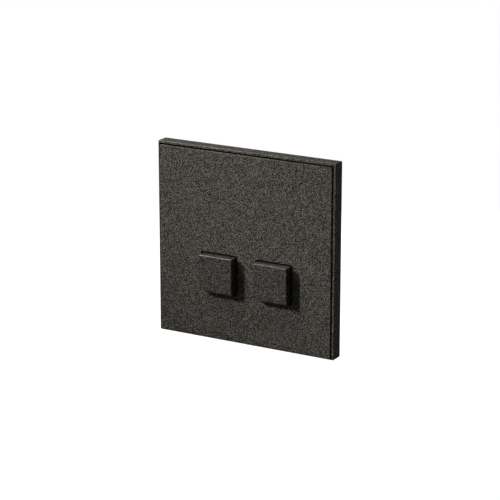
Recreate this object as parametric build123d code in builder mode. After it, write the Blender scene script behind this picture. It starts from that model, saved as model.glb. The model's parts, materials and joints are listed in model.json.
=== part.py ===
# Two-button wall switch: a square textured metal plate on a cast frame, with two push buttons
# that each tip a pivoting contact lever inside a moulded mechanism.
#
# Frame of the part: origin on the wall, midway between the two box screws. +Z is up, +X is to the
# right as seen from the room, and the room lies towards -Y. WALL is the wall plane with its normal
# towards the room, so a height is a distance in front of the wall, and a negative height is a
# depth inside the wall box.
import os

from build123d import *

os.makedirs("parts", exist_ok=True)

WALL = Plane.XZ

# ---- driving dimensions, in millimetres ----
plate_size = 86.0
plate_height = 5.6
corner_radius = 0.5
cap_edge_radius = 0.35

# the panel lies flush in a tray: a shadow groove parts it from the tray's rim at the top and the
# right, and only a hairline parts it from the thin lips at the left and the bottom
rim_width = 1.05
groove_width = 0.85
lip_width = 0.4
hairline = 0.15
rim_edge_radius = 0.3
panel_edge_radius = 0.2
tray_low = lip_width - plate_size / 2
tray_high = plate_size / 2 - rim_width
panel_skin = 1.6
panel_flange = 1.2
panel_low = tray_low + hairline
panel_high = tray_high - groove_width
panel_back = plate_height - panel_skin
panel_rear = 2.7

# buttons: the lower row of a two-by-two grid
button_size = 16.2
button_proud = 3.5
button_pitch = 26.8
pair_centre_x = 0.45
button_z = -12.7
button_gap = 0.85
aperture_edge_radius = 0.15
cap_corner_radius = 0.4
button_travel = 2.5
button_x = {
    "left": pair_centre_x - button_pitch / 2,
    "right": pair_centre_x + button_pitch / 2,
}

# frame and support plate
web_front = 2.6
support_thickness = 1.2
support_size = 70.0
support_radius = 4.0
support_gap = 0.4
window_width = 48.4
window_height = 44.4
window_radius = 2.0
frame_window = 59.0
box_screw_spacing = 60.3
box_slot_width = 4.0
box_slot_length = 7.0
box_head_radius = 5.0
frame_screw_at = 31.8
stud_at = 37.0
grip_radius = 2.2
grip_bore = 1.25
grip_flange_radius = 2.8
grip_rear = 0.9
grip_flange_height = 0.3
stud_radius = 1.2
stud_foot_radius = 2.0
stud_foot_height = 0.5
stud_end = 0.5
stud_chamfer = 0.35
press_gap = 0.05

# mechanism
housing_width = 50.0
housing_height = 56.0
housing_radius = 3.0
housing_depth = 28.0
housing_wall = 1.6
cover_thickness = 1.6
housing_edge_radius = 1.0
pole_rib = 1.4
rib_overlap = 0.2
bracket_pad_width = 6.0
bracket_pad_height = 3.6
spring_seat = -16.0
spring_seat_radius = 2.4
spring_peg_radius = 0.9
spring_peg_height = 2.4
field_width = 30.0
field_height = 14.0
field_radius = 1.5
field_depth = 0.4
side_rib_count = 5
side_rib_pitch = 9.0
side_rib_length = 20.0
side_rib_width = 1.6
side_rib_height = 0.6
mechanism_screw_x = 21.5
mechanism_screw_z = 25.3
post_radius = 2.7
screw_post_depth = 12.5

# screws
screw_radius = 1.2
screw_clearance = 0.2
screw_slot = 0.6
slot_turn = 35
countersink_radius = 2.45
countersink_depth = 1.15
frame_screw_length = 3.4
pan_head_radius = 2.2
pan_head_height = 1.1
head_edge_radius = 0.5
mechanism_screw_length = 11.8

# protective-earth terminal: a tab riveted to the support plate, with its own screw
earth_rivet_x = 27.3
earth_z = 15.0
rivet_radius = 1.0
tab_low = 25.5
tab_high = 31.2
tab_thickness = 0.8
tab_half_width = 3.5
tab_depth = 9.0
earth_screw_depth = 5.2
earth_screw_radius = 1.6
earth_head_radius = 2.8
earth_head_height = 1.8
earth_screw_length = 4.6

# plunger carried by each button
cap_wall = 1.3
cap_front = plate_height + button_proud
cap_skin = 1.6
cap_rear = 3.6
carrier_head = 13.4
carrier_corner_radius = 0.6
carrier_back = 6.0
stem_radius = 2.2
stem_end = -5.2
nose_radius = 0.8
nose_end = -7.7
bush_radius = 3.4
bush_clearance = 0.15
stop_play = 0.05
bush_front = carrier_back - button_travel - stop_play    # the pressed head stops on the bush
bush_rear = -4.0
leg_width = 4.0
leg_inner = 4.9
leg_thickness = 1.3
leg_end = -3.4
barb_front = -2.0
barb_reach = 0.9

# contact lever
lever_arm = 8.0
lever_width = 5.0
lever_thickness = 0.8
lever_front = -8.0
pivot_height = -9.8
pivot_z = button_z + lever_arm
pin_radius = 0.9
pin_length = 8.0
pin_running_gap = 0.05
pin_chamfer = 0.15
eye_radius = 1.8
strip_thickness = 0.8
contact_from_pivot = 9.0
fixed_tip_from_pivot = 7.8
fixed_strip_front = -1.7
fixed_strip_end = -21.0
bracket_base = -13.0
bracket_half = 2.2
fixed_tip_radius = 1.3
fixed_tip_height = 1.4
moving_tip_radius = 1.2
moving_tip_height = 0.8
tip_edge_radius = 0.4
lever_reach_down = 9.6
lever_reach_up = 10.4
strip_half = 2.0
strip_overhang = 0.3
bus_left = 5.4
bus_right = 3.0
bus_low = -24.0
bus_top = -19.4
bus_end = 2.5

# springs
return_coil_radius = 4.1
return_wire_radius = 0.3
return_turns = 4.5
lever_coil_radius = 1.5
lever_wire_radius = 0.2
lever_turns = 7
spring_end_gap = 0.05

# terminals: one pair at the top and one at the bottom, in line with the buttons
block_width = 7.0
block_inner = 18.4
block_outer = 25.2
block_front = -13.8
block_rear = -24.6
wire_z = 21.4
wire_radius = 1.7
wire_bore_end = -15.4
wire_entry_radius = 2.1
terminal_screw_height = -19.2
terminal_screw_radius = 1.5
terminal_head_radius = 2.2
terminal_access_radius = 2.4
terminal_thread_depth = 5.0
terminal_head_height = 2.0
terminal_slot_turn = 20
funnel_depth = 0.8

corner_signs = [(-1, -1), (-1, 1), (1, -1), (1, 1)]


def corners(x, z):
    """The four points at plus and minus x and z."""
    return [(sx * x, sz * z) for sx, sz in corner_signs]


def save(piece, name):
    """Label a finished piece and write its STEP file."""
    piece.part.label = name
    export_step(piece.part, f"parts/{name}.step")


def box_between(low_x, high_x, low_z, high_z):
    """A rectangle on the wall plane between two pairs of sides."""
    with Locations(((low_x + high_x) / 2, (low_z + high_z) / 2)):
        Rectangle(high_x - low_x, high_z - low_z)


# ---- textured panel: a skin with a short flange turned back all round ----
with BuildPart() as front_panel:
    panel_middle = (panel_low + panel_high) / 2
    panel_size = panel_high - panel_low
    with BuildSketch(WALL.offset(panel_rear)):
        with Locations((panel_middle, panel_middle)):
            RectangleRounded(panel_size, panel_size, corner_radius)
    extrude(amount=plate_height - panel_rear)
    with BuildSketch(WALL.offset(panel_rear)):
        with Locations((panel_middle, panel_middle)):
            Rectangle(panel_size - 2 * panel_flange, panel_size - 2 * panel_flange)
    extrude(amount=panel_back - panel_rear, mode=Mode.SUBTRACT)
    front_face = front_panel.faces().sort_by(Axis.Y)[0]
    fillet(front_face.outer_wire().edges(), panel_edge_radius)
    aperture = button_size + 2 * button_gap
    with BuildSketch(WALL.offset(panel_back)):
        with Locations(*[(x, button_z) for x in button_x.values()]):
            RectangleRounded(aperture, aperture, cap_corner_radius)
    extrude(amount=panel_skin, mode=Mode.SUBTRACT)
    front_face = front_panel.faces().sort_by(Axis.Y)[0]
    fillet([e for w in front_face.inner_wires() for e in w.edges()], aperture_edge_radius)
save(front_panel, "front_panel")

# ---- tray-shaped frame behind and around the panel ----
with BuildPart() as trim_frame:
    with BuildSketch(WALL):
        RectangleRounded(plate_size, plate_size, corner_radius)
    extrude(amount=plate_height)
    with BuildSketch(WALL.offset(web_front)):
        tray_size = tray_high - tray_low
        with Locations(((tray_low + tray_high) / 2, (tray_low + tray_high) / 2)):
            RectangleRounded(tray_size, tray_size, corner_radius)
    extrude(amount=plate_height, mode=Mode.SUBTRACT)
    fillet(trim_frame.faces().sort_by(Axis.Y)[0].outer_wire().edges(), rim_edge_radius)
    with BuildSketch(WALL):
        pocket = support_size + 2 * support_gap
        RectangleRounded(pocket, pocket, support_radius + support_gap)
    extrude(amount=support_thickness, mode=Mode.SUBTRACT)
    with BuildSketch(WALL):
        RectangleRounded(frame_window, frame_window, housing_radius)
        with Locations((-box_screw_spacing / 2, 0), (box_screw_spacing / 2, 0)):
            Circle(box_head_radius)
        with Locations(*corners(stud_at, stud_at)):
            Circle(grip_radius + press_gap)
        with Locations(*corners(frame_screw_at, frame_screw_at)):
            Circle(screw_radius + screw_clearance)
    extrude(amount=web_front, mode=Mode.SUBTRACT)
    with BuildSketch(WALL.offset(web_front)):
        with Locations(*corners(frame_screw_at, frame_screw_at)):
            Circle(countersink_radius)
    extrude(amount=-countersink_depth, taper=45, mode=Mode.SUBTRACT)
save(trim_frame, "trim_frame")

# ---- studs on the panel's back and the split collars that grip them ----
with BuildPart() as panel_studs:
    with BuildSketch(WALL.offset(panel_back)):
        with Locations(*corners(stud_at, stud_at)):
            Circle(stud_foot_radius)
    extrude(amount=-stud_foot_height)
    with BuildSketch(WALL.offset(panel_back)):
        with Locations(*corners(stud_at, stud_at)):
            Circle(stud_radius)
    extrude(amount=stud_end - panel_back)
    chamfer(panel_studs.faces().sort_by(Axis.Y)[-4:].edges(), stud_chamfer)
save(panel_studs, "panel_studs")

with BuildPart() as stud_grips:
    with BuildSketch(WALL.offset(grip_rear)):
        with Locations(*corners(stud_at, stud_at)):
            Circle(grip_radius)
    extrude(amount=web_front - grip_rear)
    with BuildSketch(WALL.offset(web_front)):
        with Locations(*corners(stud_at, stud_at)):
            Circle(grip_flange_radius)
    extrude(amount=grip_flange_height)
    with BuildSketch(WALL.offset(grip_rear)):
        with Locations(*corners(stud_at, stud_at)):
            Circle(grip_bore)
        with Locations(*corners(stud_at + grip_flange_radius / 2, stud_at)):
            Rectangle(grip_flange_radius + 1, screw_slot)
    extrude(amount=web_front + grip_flange_height - grip_rear, mode=Mode.SUBTRACT)
save(stud_grips, "stud_grips")

# ---- steel plate that screws to the wall box ----
with BuildPart() as support_plate:
    with BuildSketch(WALL):
        RectangleRounded(support_size, support_size, support_radius)
        RectangleRounded(window_width, window_height, window_radius, mode=Mode.SUBTRACT)
        with Locations((-box_screw_spacing / 2, 0), (box_screw_spacing / 2, 0)):
            SlotOverall(box_slot_length, box_slot_width, mode=Mode.SUBTRACT)
        with Locations(*corners(frame_screw_at, frame_screw_at)):
            Circle(screw_radius + press_gap, mode=Mode.SUBTRACT)
        with Locations(*corners(mechanism_screw_x, mechanism_screw_z)):
            Circle(screw_radius + screw_clearance, mode=Mode.SUBTRACT)
        with Locations((earth_rivet_x, earth_z)):
            Circle(rivet_radius + press_gap, mode=Mode.SUBTRACT)
    extrude(amount=support_thickness)
save(support_plate, "support_plate")

# ---- screws ----
with BuildPart() as frame_screws:
    points = corners(frame_screw_at, frame_screw_at)
    head_front = WALL.offset(web_front - press_gap)
    with BuildSketch(head_front):
        with Locations(*points):
            Circle(countersink_radius - press_gap - 0.1)
    extrude(amount=press_gap - countersink_depth, taper=45)
    with BuildSketch(head_front):
        with Locations(*points):
            Circle(screw_radius)
    extrude(amount=-frame_screw_length)
    with BuildSketch(head_front):
        with Locations(*points):
            Rectangle(2 * countersink_radius, screw_slot, rotation=slot_turn)
    extrude(amount=-screw_slot, mode=Mode.SUBTRACT)
save(frame_screws, "frame_screws")

with BuildPart() as mechanism_screws:
    points = corners(mechanism_screw_x, mechanism_screw_z)
    with BuildSketch(WALL.offset(support_thickness)):
        with Locations(*points):
            Circle(pan_head_radius)
    extrude(amount=pan_head_height)
    fillet(mechanism_screws.faces().sort_by(Axis.Y)[:4].edges(), head_edge_radius)
    with BuildSketch(WALL.offset(support_thickness)):
        with Locations(*points):
            Circle(screw_radius)
    extrude(amount=-mechanism_screw_length)
    with BuildSketch(WALL.offset(support_thickness + pan_head_height)):
        with Locations(*points):
            Rectangle(2 * pan_head_radius, screw_slot, rotation=slot_turn)
    extrude(amount=-screw_slot, mode=Mode.SUBTRACT)
save(mechanism_screws, "mechanism_screws")

# ---- protective-earth terminal ----
with BuildPart() as earth_tab:
    with BuildSketch(WALL):
        box_between(tab_low, tab_high, earth_z - tab_half_width, earth_z + tab_half_width)
    extrude(amount=-tab_thickness)
    with BuildSketch(WALL):
        tab_inner = tab_high - tab_thickness
        box_between(tab_inner, tab_high, earth_z - tab_half_width, earth_z + tab_half_width)
    extrude(amount=-tab_depth)
    with BuildSketch(WALL.offset(-tab_thickness)):
        with Locations((earth_rivet_x, earth_z)):
            Circle(rivet_radius)
    extrude(amount=tab_thickness + support_thickness)
    with BuildSketch(WALL.offset(support_thickness)):
        with Locations((earth_rivet_x, earth_z)):
            Circle(rivet_radius + 0.7)
    extrude(amount=0.5)
    with BuildSketch(Plane.YZ.offset(tab_high)):
        with Locations((earth_screw_depth, earth_z)):
            Circle(earth_screw_radius + press_gap)
    extrude(amount=-tab_thickness, mode=Mode.SUBTRACT)
save(earth_tab, "earth_tab")

with BuildPart() as earth_screw:
    with BuildSketch(Plane.YZ.offset(tab_high)):
        with Locations((earth_screw_depth, earth_z)):
            Circle(earth_head_radius)
    extrude(amount=earth_head_height)
    fillet(earth_screw.faces().sort_by(Axis.X)[-1].edges(), head_edge_radius)
    with BuildSketch(Plane.YZ.offset(tab_high)):
        with Locations((earth_screw_depth, earth_z)):
            Circle(earth_screw_radius)
    extrude(amount=-earth_screw_length)
    with BuildSketch(Plane.YZ.offset(tab_high + earth_head_height)):
        with Locations((earth_screw_depth, earth_z)):
            Rectangle(2 * earth_head_radius + 1, screw_slot + 0.1)
    extrude(amount=-0.8, mode=Mode.SUBTRACT)
save(earth_screw, "earth_screw")

# ---- moulded mechanism: cover with the guide bushes, housing with posts, pads and ribs ----
with BuildPart() as mechanism_cover:
    with BuildSketch(WALL.offset(-cover_thickness)):
        RectangleRounded(housing_width, housing_height, housing_radius)
    extrude(amount=cover_thickness)
    with BuildSketch(WALL.offset(bush_rear)):
        with Locations(*[(x, button_z) for x in button_x.values()]):
            Circle(bush_radius)
    extrude(amount=bush_front - bush_rear)
    with BuildSketch(WALL.offset(bush_rear)):
        with Locations(*[(x, button_z) for x in button_x.values()]):
            Circle(stem_radius + bush_clearance)
        with Locations(*corners(mechanism_screw_x, mechanism_screw_z)):
            Circle(screw_radius + screw_clearance)
        slot_low = leg_inner - 0.3
        slot_high = leg_inner + leg_thickness + 0.4
        for x in button_x.values():
            for side in (-1, 1):
                with Locations((x, button_z + side * (slot_low + slot_high) / 2)):
                    Rectangle(leg_width + 0.6, slot_high - slot_low)
    extrude(amount=bush_front - bush_rear, mode=Mode.SUBTRACT)
save(mechanism_cover, "mechanism_cover")

with BuildPart() as mechanism_housing:
    housing_floor = housing_wall - housing_depth
    cavity_width = housing_width - 2 * housing_wall
    cavity_height = housing_height - 2 * housing_wall
    with BuildSketch(WALL.offset(-housing_depth)):
        RectangleRounded(housing_width, housing_height, housing_radius)
    extrude(amount=housing_depth - cover_thickness)
    fillet(mechanism_housing.faces().sort_by(Axis.Y)[-1].edges(), housing_edge_radius)
    with BuildSketch(WALL.offset(housing_floor)):
        RectangleRounded(cavity_width, cavity_height, housing_radius - housing_wall)
    extrude(amount=housing_depth, mode=Mode.SUBTRACT)
    # screw posts and the rib between the two poles
    with BuildSketch(WALL.offset(housing_floor)):
        with Locations(*corners(mechanism_screw_x, mechanism_screw_z)):
            Circle(post_radius)
        with Locations((pair_centre_x, 0)):
            Rectangle(pole_rib, cavity_height + 2 * rib_overlap)
    extrude(amount=-housing_floor - cover_thickness)
    with BuildSketch(WALL.offset(-screw_post_depth)):
        with Locations(*corners(mechanism_screw_x, mechanism_screw_z)):
            Circle(screw_radius + 0.02)
    extrude(amount=screw_post_depth, mode=Mode.SUBTRACT)
    # pads under the terminals, columns under the brackets, and bosses for the lever springs
    pad_outer = cavity_height / 2 + rib_overlap
    with BuildSketch(WALL.offset(housing_floor)):
        for x in button_x.values():
            for side in (-1, 1):
                with Locations((x, side * (block_inner + pad_outer) / 2)):
                    Rectangle(block_width + 1, pad_outer - block_inner)
    extrude(amount=block_rear - housing_floor)
    with BuildSketch(WALL.offset(housing_floor)):
        with Locations(*[(x, pivot_z) for x in button_x.values()]):
            Rectangle(bracket_pad_width, bracket_pad_height)
    extrude(amount=bracket_base - strip_thickness - housing_floor)
    with BuildSketch(WALL.offset(housing_floor)):
        with Locations(*[(x, button_z) for x in button_x.values()]):
            Circle(spring_seat_radius)
    extrude(amount=spring_seat - housing_floor)
    with BuildSketch(WALL.offset(spring_seat)):
        with Locations(*[(x, button_z) for x in button_x.values()]):
            Circle(spring_peg_radius)
    extrude(amount=spring_peg_height)
    # wire entries through the back, and driver access through the top and bottom
    with BuildSketch(WALL.offset(-housing_depth)):
        for x in button_x.values():
            with Locations((x, -wire_z), (x, wire_z)):
                Circle(wire_entry_radius)
    extrude(amount=housing_depth + block_rear, mode=Mode.SUBTRACT)
    for side in (-1, 1):
        with BuildSketch(Plane.XY.offset(side * housing_height / 2)):
            with Locations(*[(x, -terminal_screw_height) for x in button_x.values()]):
                Circle(terminal_access_radius)
        extrude(amount=-side * housing_wall, mode=Mode.SUBTRACT)
    # funnel mouths on the wire entries
    with BuildSketch(WALL.offset(-housing_depth)):
        for x in button_x.values():
            with Locations((x, -wire_z), (x, wire_z)):
                Circle(wire_entry_radius + funnel_depth)
    extrude(amount=funnel_depth, taper=45, mode=Mode.SUBTRACT)
    # a sunk blank field on the back, and stiffening ribs down both sides
    with BuildSketch(WALL.offset(-housing_depth)):
        RectangleRounded(field_width, field_height, field_radius)
    extrude(amount=field_depth, mode=Mode.SUBTRACT)
    for way in (-1, 1):
        with BuildSketch(Plane.YZ.offset(way * housing_width / 2)):
            with GridLocations(0, side_rib_pitch, 1, side_rib_count):
                with Locations((housing_depth / 2, 0)):
                    SlotOverall(side_rib_length, side_rib_width)
        extrude(amount=way * side_rib_height)
save(mechanism_housing, "mechanism_housing")

# ---- terminals ----
with BuildPart() as terminal_blocks:
    block_middle = (block_inner + block_outer) / 2
    with BuildSketch(WALL.offset(block_rear)):
        for x in button_x.values():
            with Locations((x, -block_middle), (x, block_middle)):
                RectangleRounded(block_width, block_outer - block_inner, 0.6)
    extrude(amount=block_front - block_rear)
    with BuildSketch(WALL.offset(block_rear)):
        for x in button_x.values():
            with Locations((x, -wire_z), (x, wire_z)):
                Circle(wire_radius)
    extrude(amount=wire_bore_end - block_rear, mode=Mode.SUBTRACT)
    for side in (-1, 1):
        with BuildSketch(Plane.XY.offset(side * wire_z)):
            with Locations(*[(x, -terminal_screw_height) for x in button_x.values()]):
                Circle(terminal_screw_radius + press_gap)
        extrude(amount=side * terminal_thread_depth, mode=Mode.SUBTRACT)
save(terminal_blocks, "terminal_blocks")

with BuildPart() as terminal_screws:
    shank_end = wire_z + wire_radius + 0.2
    head_top = block_outer + terminal_head_height
    for side in (-1, 1):
        points = [(x, -terminal_screw_height) for x in button_x.values()]
        with BuildSketch(Plane.XY.offset(side * shank_end)):
            with Locations(*points):
                Circle(terminal_screw_radius)
        extrude(amount=side * (head_top - shank_end))
        with BuildSketch(Plane.XY.offset(side * block_outer)):
            with Locations(*points):
                Circle(terminal_head_radius)
        extrude(amount=side * (head_top - block_outer))
        with BuildSketch(Plane.XY.offset(side * head_top)):
            with Locations(*points):
                Rectangle(2 * terminal_head_radius + 1, screw_slot, rotation=terminal_slot_turn)
        extrude(amount=-side * screw_slot, mode=Mode.SUBTRACT)
save(terminal_screws, "terminal_screws")

with BuildPart() as fixed_tips:
    with BuildSketch(WALL.offset(fixed_strip_front - strip_thickness)):
        with Locations(*[(x, pivot_z + fixed_tip_from_pivot) for x in button_x.values()]):
            Circle(fixed_tip_radius)
    extrude(amount=-fixed_tip_height)
    fillet(fixed_tips.faces().sort_by(Axis.Y)[-2:].edges(), tip_edge_radius)
save(fixed_tips, "fixed_tips")


# ---- one pole: everything that repeats for the left and the right button ----
def make_button(side, x):
    """The textured cap, and the moulded plunger that fills it and slides in the cover's bush."""
    with BuildPart() as button_cap:
        with BuildSketch(WALL.offset(cap_rear)):
            with Locations((x, button_z)):
                RectangleRounded(button_size, button_size, cap_corner_radius)
        extrude(amount=cap_front - cap_rear)
        fillet(button_cap.faces().sort_by(Axis.Y)[0].edges(), cap_edge_radius)
        with BuildSketch(WALL.offset(cap_rear)):
            with Locations((x, button_z)):
                cavity = button_size - 2 * cap_wall
                RectangleRounded(cavity, cavity, cap_corner_radius)
        extrude(amount=cap_front - cap_skin - cap_rear, mode=Mode.SUBTRACT)
    save(button_cap, f"button_cap_{side}")

    with BuildPart() as button_carrier:
        with BuildSketch(WALL.offset(carrier_back)):
            with Locations((x, button_z)):
                RectangleRounded(carrier_head, carrier_head, carrier_corner_radius)
        extrude(amount=cap_front - cap_skin - carrier_back)
        with BuildSketch(WALL.offset(carrier_back)):
            with Locations((x, button_z)):
                Circle(stem_radius)
        extrude(amount=stem_end - carrier_back)
        with BuildSketch(WALL.offset(stem_end)):
            with Locations((x, button_z)):
                Circle(nose_radius)
        extrude(amount=nose_end - stem_end)
        fillet(button_carrier.faces().sort_by(Axis.Y)[-1].edges(), nose_radius - 0.05)
        # two snap legs, each with a barb behind the cover
        for way in (-1, 1):
            with BuildSketch(Plane.YZ.offset(x - leg_width / 2)):
                inner = button_z + way * leg_inner
                outer = inner + way * leg_thickness
                barb = outer + way * barb_reach
                with BuildLine():
                    Polyline(
                        (-carrier_back, inner), (-leg_end, inner), (-leg_end, outer),
                        (-barb_front, barb), (-barb_front, outer), (-carrier_back, outer),
                        close=True,
                    )
                make_face()
            extrude(amount=leg_width)
    save(button_carrier, f"button_carrier_{side}")


def coil_spring(x, start, end, coil_radius, strand, turns):
    """A plain helical spring of one strand along the button's axis, between two heights."""
    length = end - start - 2 * strand
    with BuildPart() as spring:
        with BuildLine() as path:
            Helix(
                pitch=length / turns, height=length, radius=coil_radius,
                center=(x, -start - strand, button_z), direction=(0, -1, 0),
            )
        with BuildSketch(Plane(origin=path.line @ 0, z_dir=path.line % 0)):
            Circle(strand)
        sweep(is_frenet=True)
    return spring


def make_lever(side, x):
    """The contact lever with its eye, its tip, and the pin that it turns on."""
    with BuildPart() as contact_lever:
        with BuildSketch(WALL.offset(lever_front)):
            with Locations((x, pivot_z + (lever_reach_up - lever_reach_down) / 2)):
                Rectangle(lever_width, lever_reach_up + lever_reach_down)
        extrude(amount=-lever_thickness)
        with BuildSketch(Plane.YZ.offset(x - lever_width / 2)):
            with Locations((-pivot_height, pivot_z)):
                Circle(eye_radius)
        extrude(amount=lever_width)
        with BuildSketch(Plane.YZ.offset(x - lever_width / 2)):
            with Locations((-pivot_height, pivot_z)):
                Circle(pin_radius + pin_running_gap)
        extrude(amount=lever_width, mode=Mode.SUBTRACT)
    save(contact_lever, f"contact_lever_{side}")

    with BuildPart() as moving_tip:
        with BuildSketch(WALL.offset(lever_front)):
            with Locations((x, pivot_z + contact_from_pivot)):
                Circle(moving_tip_radius)
        extrude(amount=moving_tip_height)
        fillet(moving_tip.faces().sort_by(Axis.Y)[0].edges(), tip_edge_radius)
    save(moving_tip, f"moving_tip_{side}")

    with BuildPart() as pivot_pin:
        with BuildSketch(Plane.YZ.offset(x - pin_length / 2)):
            with Locations((-pivot_height, pivot_z)):
                Circle(pin_radius)
        extrude(amount=pin_length)
        chamfer(pivot_pin.edges().filter_by(GeomType.CIRCLE), pin_chamfer)
    save(pivot_pin, f"pivot_pin_{side}")


def make_contacts(side, x):
    """The bracket that holds the pin, and the strip from the fixed tip to the upper terminal."""
    ear_inner = lever_width / 2 + 0.3
    ear_outer = ear_inner + strip_thickness
    base_rear = bracket_base - strip_thickness
    with BuildPart() as common_contact:
        with BuildSketch(WALL.offset(base_rear)):
            bracket_top = pivot_z + bracket_half
            box_between(x - ear_outer, x + ear_outer, pivot_z - bracket_half, bracket_top)
            box_between(x - bus_left, x - bus_right, bus_low, bracket_top)
            box_between(x - bus_left, x + bus_end, bus_low, bus_top)
        extrude(amount=strip_thickness)
        for low in (x - ear_outer, x + ear_inner):
            with BuildSketch(Plane.YZ.offset(low)):
                with Locations((-pivot_height, pivot_z)):
                    Circle(bracket_half)
                with Locations(((-bracket_base - pivot_height) / 2, pivot_z)):
                    Rectangle(-bracket_base + pivot_height, 2 * bracket_half)
                with Locations((-pivot_height, pivot_z)):
                    Circle(pin_radius + 0.02, mode=Mode.SUBTRACT)
            extrude(amount=strip_thickness)
    save(common_contact, f"common_contact_{side}")

    with BuildPart() as fixed_contact:
        with BuildSketch(WALL.offset(fixed_strip_front)):
            strip_low = pivot_z + fixed_tip_from_pivot - fixed_tip_radius - strip_overhang
            box_between(x - strip_half, x + strip_half, strip_low, block_inner)
        extrude(amount=-strip_thickness)
        with BuildSketch(WALL.offset(fixed_strip_front)):
            strip_bend = block_inner - strip_thickness
            box_between(x - strip_half, x + strip_half, strip_bend, block_inner)
        extrude(amount=fixed_strip_end - fixed_strip_front)
    save(fixed_contact, f"fixed_contact_{side}")


for side, x in button_x.items():
    make_button(side, x)
    make_lever(side, x)
    make_contacts(side, x)
    return_spring = coil_spring(
        x, spring_end_gap, carrier_back - spring_end_gap,
        return_coil_radius, return_wire_radius, return_turns,
    )
    save(return_spring, f"return_spring_{side}")
    lever_spring = coil_spring(
        x, spring_seat + spring_end_gap, lever_front - lever_thickness - spring_end_gap,
        lever_coil_radius, lever_wire_radius, lever_turns,
    )
    save(lever_spring, f"lever_spring_{side}")
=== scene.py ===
"""The two-button wall switch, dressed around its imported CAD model."""
import json
import math

import bmesh
import bpy
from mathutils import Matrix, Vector


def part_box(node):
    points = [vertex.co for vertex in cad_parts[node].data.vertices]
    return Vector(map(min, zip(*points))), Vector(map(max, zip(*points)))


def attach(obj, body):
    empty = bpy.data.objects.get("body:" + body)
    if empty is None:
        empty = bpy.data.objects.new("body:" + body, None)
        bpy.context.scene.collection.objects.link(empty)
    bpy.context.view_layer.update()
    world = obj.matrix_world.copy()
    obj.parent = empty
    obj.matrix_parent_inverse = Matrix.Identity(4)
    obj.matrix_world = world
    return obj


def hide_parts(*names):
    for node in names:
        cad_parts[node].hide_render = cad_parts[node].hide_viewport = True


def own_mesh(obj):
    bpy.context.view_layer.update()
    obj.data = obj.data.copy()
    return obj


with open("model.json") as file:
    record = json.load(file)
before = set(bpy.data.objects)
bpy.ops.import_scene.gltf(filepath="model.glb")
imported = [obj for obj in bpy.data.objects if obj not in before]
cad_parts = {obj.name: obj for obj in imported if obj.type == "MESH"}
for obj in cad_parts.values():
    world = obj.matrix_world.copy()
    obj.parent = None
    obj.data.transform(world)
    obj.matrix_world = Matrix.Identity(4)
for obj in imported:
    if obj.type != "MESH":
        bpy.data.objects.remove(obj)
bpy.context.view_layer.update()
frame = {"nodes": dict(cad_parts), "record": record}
NODES = frame["nodes"]
MM = 0.001


# ---- materials; scales are in features per metre ----
GRAIN_TONES = [
    (0.40, (0.0095, 0.0088, 0.0070)),
    (0.51, (0.0300, 0.0276, 0.0230)),
    (0.61, (0.320, 0.296, 0.250)),
]
GRIT_SCALE, GRIT_DETAIL = 2700, 1.0
GRIT_TILT = (0.6, 0.4, 0.3)    # radians; no flat face lies along the grit's own grid
GRIT_HEIGHT, GRIT_STRENGTH = 0.03 * MM, 0.55
GLOSS_SCALE = 3100
GLOSS_STOPS = [(0.35, (0.66,) * 3), (0.65, (0.42,) * 3)]
PAINT_SPECULAR, COAT_ROUGHNESS = 0.4, 0.18
CAP_PAINTED_SHADE = 0.76    # painted shade: the button caps take the plate's finish with its colour darkened to this share, standing in for the shade they sit in; their clear coat is also glossier
PLATE_COAT, CAP_COAT = 0.5, 1.0

PLASTIC_GRAIN, PLASTIC_CLOUD = 3500, 60
PLASTIC_DARKENING, PLASTIC_SPREAD = 0.92, 0.06
PLASTIC_HEIGHT, PLASTIC_STRENGTH = 0.015 * MM, 0.5
METAL_LINES, METAL_CLOUD = 4000, 180
METAL_DARKENING, METAL_SMOOTHER, METAL_ROUGHER = 0.75, 0.08, 0.1
METAL_HEIGHT, METAL_STRENGTH = 0.01 * MM, 0.4


def new_material(name):
    """A node material with a Principled shader and object coordinates in metres."""
    material = bpy.data.materials.new(name)
    material.use_nodes = True
    shader = material.node_tree.nodes["Principled BSDF"]
    place = material.node_tree.nodes.new("ShaderNodeTexCoord")
    return material, material.node_tree, shader, place.outputs["Object"]


def noise(tree, place, scale, detail=2.0, roughness=0.5):
    """A noise texture read at the given place."""
    node = tree.nodes.new("ShaderNodeTexNoise")
    node.inputs["Scale"].default_value = scale
    node.inputs["Detail"].default_value = detail
    node.inputs["Roughness"].default_value = roughness
    tree.links.new(place, node.inputs["Vector"])
    return node.outputs["Fac"]


def ramp(tree, value, stops):
    """A colour ramp; stops are (position, (r, g, b))."""
    node = tree.nodes.new("ShaderNodeValToRGB")
    elements = node.color_ramp.elements
    while len(elements) < len(stops):
        elements.new(0.5)
    for element, (position, colour) in zip(elements, stops):
        element.position = position
        element.color = (*colour, 1.0)
    tree.links.new(value, node.inputs["Fac"])
    return node.outputs["Color"]


def bump(tree, shader, value, distance, strength):
    """Raises the surface by a height texture."""
    node = tree.nodes.new("ShaderNodeBump")
    node.inputs["Distance"].default_value = distance
    node.inputs["Strength"].default_value = strength
    tree.links.new(value, node.inputs["Height"])
    tree.links.new(node.outputs["Normal"], shader.inputs["Normal"])


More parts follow.
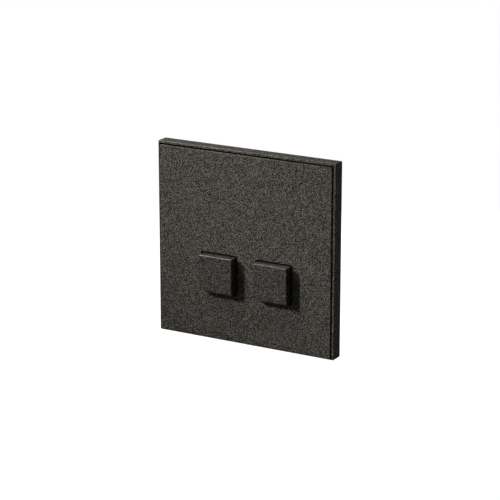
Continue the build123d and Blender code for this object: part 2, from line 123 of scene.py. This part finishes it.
def textured_metal(name, painted_shade_factor, coat):
    """Bronze-grey powder coat: a fine grit, dark with lighter crests, under a clear coat; a painted shade
    factor below 1 darkens the colour.
    """
    material, tree, shader, place = new_material(name)
    settle = tree.nodes.new("ShaderNodeMapping")
    settle.inputs["Rotation"].default_value = GRIT_TILT
    tree.links.new(place, settle.inputs["Vector"])
    place = settle.outputs["Vector"]
    grit = noise(tree, place, GRIT_SCALE, detail=GRIT_DETAIL)
    # the grit's tones are scaled down by the painted shade factor: painted shade
    tones = [
        (position, tuple(channel * painted_shade_factor for channel in colour))
        for position, colour in GRAIN_TONES
    ]
    tree.links.new(ramp(tree, grit, tones), shader.inputs["Base Color"])
    gloss = noise(tree, place, GLOSS_SCALE, detail=GRIT_DETAIL)
    tree.links.new(ramp(tree, gloss, GLOSS_STOPS), shader.inputs["Roughness"])
    shader.inputs["Specular IOR Level"].default_value = PAINT_SPECULAR
    shader.inputs["Coat Weight"].default_value = coat
    shader.inputs["Coat Roughness"].default_value = COAT_ROUGHNESS
    bump(tree, shader, grit, GRIT_HEIGHT, GRIT_STRENGTH)
    return material


def moulded_plastic(name, colour, roughness):
    """Moulded plastic: a faint mottle of colour and a fine spark-eroded grain."""
    material, tree, shader, place = new_material(name)
    grain = noise(tree, place, PLASTIC_GRAIN, detail=2)
    cloud = noise(tree, place, PLASTIC_CLOUD, detail=3)
    dark = tuple(channel * PLASTIC_DARKENING for channel in colour)
    tree.links.new(ramp(tree, cloud, [(0.3, dark), (0.7, colour)]), shader.inputs["Base Color"])
    low, high = roughness - PLASTIC_SPREAD, roughness + PLASTIC_SPREAD
    tree.links.new(ramp(tree, grain, [(0.3, (low,) * 3), (0.7, (high,) * 3)]), shader.inputs["Roughness"])
    bump(tree, shader, grain, PLASTIC_HEIGHT, PLASTIC_STRENGTH)
    return material


def worked_metal(name, colour, roughness, direction):
    """Metal with fine lines along one direction, as rolled, drawn or turned."""
    material, tree, shader, place = new_material(name)
    shader.inputs["Metallic"].default_value = 1.0
    stretch = tree.nodes.new("ShaderNodeMapping")
    stretch.inputs["Scale"].default_value = direction
    tree.links.new(place, stretch.inputs["Vector"])
    lines = noise(tree, stretch.outputs["Vector"], METAL_LINES, detail=2)
    cloud = noise(tree, place, METAL_CLOUD, detail=3)
    dark = tuple(channel * METAL_DARKENING for channel in colour)
    tree.links.new(ramp(tree, cloud, [(0.3, dark), (0.65, colour)]), shader.inputs["Base Color"])
    low, high = roughness - METAL_SMOOTHER, roughness + METAL_ROUGHER
    tree.links.new(ramp(tree, lines, [(0.3, (low,) * 3), (0.7, (high,) * 3)]), shader.inputs["Roughness"])
    bump(tree, shader, lines, METAL_HEIGHT, METAL_STRENGTH)
    return material


MATERIALS = {
    "textured_metal": textured_metal("textured_metal", 1.0, PLATE_COAT),
    "housing_plastic": moulded_plastic("housing_plastic", (0.60, 0.60, 0.57), 0.48),
    "cover_plastic": moulded_plastic("cover_plastic", (0.030, 0.030, 0.032), 0.45),
    "carrier_plastic": moulded_plastic("carrier_plastic", (0.045, 0.045, 0.047), 0.40),
    "plated_steel": worked_metal("plated_steel", (0.62, 0.62, 0.60), 0.36, (0.05, 1, 1)),
    "screw_steel": worked_metal("screw_steel", (0.66, 0.65, 0.62), 0.30, (1, 0.3, 1)),
    "spring_steel": worked_metal("spring_steel", (0.45, 0.46, 0.48), 0.25, (1, 1, 1)),
    "brass": worked_metal("brass", (0.80, 0.60, 0.28), 0.30, (1, 1, 0.1)),
    "silver": worked_metal("silver", (0.86, 0.85, 0.81), 0.28, (1, 1, 1)),
}
for part in frame["record"]["subparts"]:
    node = NODES[part["node"]]
    node.data.materials.clear()
    node.data.materials.append(MATERIALS[part["material_slot"]])
for side in ("left", "right"):
    # each cap gets a darker copy of the plate's finish as painted shade, with a glossier coat
    shaded_cap_finish = textured_metal(f"textured_metal_{side}_cap", CAP_PAINTED_SHADE, CAP_COAT)
    NODES[f"button_cap_{side}"].data.materials[0] = shaded_cap_finish


# ---- springs, wound with closed ends, in place of the plain CAD coils; in millimetres ----
CLOSED_TURNS = 0.8
CLOSED_PITCH = 2.1    # rise of a closed turn, in strand radii
STEPS_PER_TURN, STRAND_SIDES = 40, 12
RETURN_START, RETURN_END, RETURN_ANCHOR = -5.95, -0.05, 0.0
RETURN_COIL_RADIUS, RETURN_STRAND, RETURN_TURNS = 4.1, 0.3, 5.0
LEVER_START, LEVER_END, LEVER_ANCHOR = 8.85, 15.95, 16
LEVER_COIL_RADIUS, LEVER_STRAND, LEVER_TURNS = 1.5, 0.2, 8.0


def wound_spring(name, x, z, start, end, coil_radius, strand, turns):
    """A compression spring along Y from start to end (mm); the end turns lie close together."""
    length = end - start - 2 * strand
    closed_rise = CLOSED_PITCH * strand * CLOSED_TURNS
    open_turns = turns - 2 * CLOSED_TURNS
    open_rise = length - 2 * closed_rise
    steps = round(turns * STEPS_PER_TURN)
    points = []
    for step in range(steps + 1):
        turn = turns * step / steps
        if turn < CLOSED_TURNS:
            rise = closed_rise * turn / CLOSED_TURNS
        elif turn < CLOSED_TURNS + open_turns:
            rise = closed_rise + open_rise * (turn - CLOSED_TURNS) / open_turns
        else:
            rise = length - closed_rise * (turns - turn) / CLOSED_TURNS
        angle = 2 * math.pi * turn
        points.append(Vector((x + coil_radius * math.cos(angle), start + strand + rise,
                              z + coil_radius * math.sin(angle))))
    mesh = bmesh.new()
    rings = []
    for step, point in enumerate(points):
        along = (points[min(step + 1, steps)] - points[max(step - 1, 0)]).normalized()
        outward = Vector((point.x - x, 0, point.z - z)).normalized()
        across = along.cross(outward).normalized()
        outward = across.cross(along)
        ring = []
        for side in range(STRAND_SIDES):
            turned = 2 * math.pi * side / STRAND_SIDES
            offset = (outward * math.cos(turned) + across * math.sin(turned)) * strand
            ring.append(mesh.verts.new((point + offset) * MM))
        rings.append(ring)
    for ring, after in zip(rings, rings[1:]):
        for side in range(STRAND_SIDES):
            other = (side + 1) % STRAND_SIDES
            mesh.faces.new((ring[side], ring[other], after[other], after[side]))
    mesh.faces.new(rings[0][::-1])
    mesh.faces.new(rings[-1])
    bmesh.ops.recalc_face_normals(mesh, faces=mesh.faces)
    data = bpy.data.meshes.new(name)
    mesh.to_mesh(data)
    mesh.free()
    for face in data.polygons:
        face.use_smooth = len(face.vertices) == 4
    data.materials.append(MATERIALS["spring_steel"])
    spring = bpy.data.objects.new(name, data)
    bpy.context.scene.collection.objects.link(spring)
    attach(spring, "wall_plate")
    return spring


def middle(node):
    """The middle of a node's box in x and z, in millimetres."""
    low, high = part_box(node)
    return (low[0] + high[0]) / 2 / MM, (low[2] + high[2]) / 2 / MM


for side in ("left", "right"):
    x, z = middle(f"button_carrier_{side}")
    coil = wound_spring(f"return_coil_{side}", x, z, RETURN_START, RETURN_END,
                        RETURN_COIL_RADIUS, RETURN_STRAND, RETURN_TURNS)
    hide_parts(f"return_spring_{side}")
    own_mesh(coil)
    coil = wound_spring(f"lever_coil_{side}", x, z, LEVER_START, LEVER_END,
                        LEVER_COIL_RADIUS, LEVER_STRAND, LEVER_TURNS)
    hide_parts(f"lever_spring_{side}")
    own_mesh(coil)

# ---- camera, at the photograph's viewing angle ----
AZIMUTH, ELEVATION, DISTANCE = math.radians(29.16), math.radians(16.78), 0.886
LENS = 148.26
LOOKED_AT = Vector((-0.75, 0, -1.85)) * MM
camera = bpy.data.objects.new("camera", bpy.data.cameras.new("camera"))
bpy.context.scene.collection.objects.link(camera)
toward = Vector((
    math.sin(AZIMUTH) * math.cos(ELEVATION),
    -math.cos(AZIMUTH) * math.cos(ELEVATION),
    math.sin(ELEVATION),
))
camera.location = LOOKED_AT + toward * DISTANCE
camera.rotation_euler = toward.to_track_quat("Z", "Y").to_euler()
camera.data.lens = LENS
camera.data.clip_start = 0.01
bpy.context.scene.camera = camera


# ---- floor, light and white surroundings ----
def area_light(name, place, size, power):
    """A square area light that faces the middle of the plate and isn't seen itself."""
    light = bpy.data.lights.new(name, "AREA")
    light.size = size
    light.energy = power
    lamp = bpy.data.objects.new(name, light)
    lamp.location = place
    lamp.rotation_euler = Vector(place).to_track_quat("Z", "Y").to_euler()
    lamp.visible_camera = False
    bpy.context.scene.collection.objects.link(lamp)


KEY_DIRECTION = Vector((-1.4, -1.0, 0.98)).normalized()
KEY_DISTANCE = 1.3
KEY_REACH = 0.09    # radius, in metres, of the pool of light on the upper half of the plate
KEY_ENERGY, KEY_SOFTNESS = 130, 0.10
KEY_AIM = Vector((0.005, 0, 0.033))
key_light = bpy.data.lights.new("key", "SPOT")
key_light.energy = KEY_ENERGY
key_light.spot_size = 2 * math.atan(KEY_REACH / KEY_DISTANCE)
key_light.spot_blend = 1.0
key_light.shadow_soft_size = KEY_SOFTNESS
key = bpy.data.objects.new("key", key_light)
key.location = KEY_DIRECTION * KEY_DISTANCE
key.rotation_euler = (key.location - KEY_AIM).to_track_quat("Z", "Y").to_euler()
bpy.context.scene.collection.objects.link(key)
FILL_LIGHTS = [    # name, place, size in metres, power in watts
    ("top", Vector((-0.175, -0.085, 0.30)), 0.08, 0.44),
    ("side", Vector((0.9, 0.9, 0.5)), 0.5, 0.5),
    ("back", Vector((-0.60, 1.20, -0.16)), 0.3, 7.0),
]
for name, place, size, power in FILL_LIGHTS:
    area_light(name, place, size, power)

REACH, DROP = 20.0, -0.35
FLOOR_CORNERS = [
    (-REACH, -REACH, DROP),
    (REACH, -REACH, DROP),
    (REACH, REACH, DROP),
    (-REACH, REACH, DROP),
]
floor_mesh = bpy.data.meshes.new("floor")
floor_mesh.from_pydata(FLOOR_CORNERS, [], [(0, 1, 2, 3)])
floor = bpy.data.objects.new("floor", floor_mesh)
bpy.context.scene.collection.objects.link(floor)
pale, _, pale_shader, _ = new_material("pale_floor")
pale_shader.inputs["Base Color"].default_value = (0, 0, 0, 1)    # only its own even light shows
pale_shader.inputs["Roughness"].default_value = 0.9
pale_shader.inputs["Emission Color"].default_value = (1, 1, 1, 1)
pale_shader.inputs["Emission Strength"].default_value = 1.0
floor_mesh.materials.append(pale)
floor.visible_diffuse = False
floor.visible_glossy = False

world = bpy.data.worlds.new("studio")
bpy.context.scene.world = world
world.use_nodes = True
world_tree = world.node_tree
background = world_tree.nodes["Background"]
path = world_tree.nodes.new("ShaderNodeLightPath")
level = world_tree.nodes.new("ShaderNodeMapRange")
AMBIENT = 0.05    # what the white surroundings give the object; the camera sees them at 1
level.inputs["To Min"].default_value = AMBIENT
level.inputs["To Max"].default_value = 1.0
world_tree.links.new(path.outputs["Is Camera Ray"], level.inputs["Value"])
world_tree.links.new(level.outputs["Result"], background.inputs["Strength"])
background.inputs["Color"].default_value = (1, 1, 1, 1)
bpy.context.scene.view_settings.view_transform = "Standard"
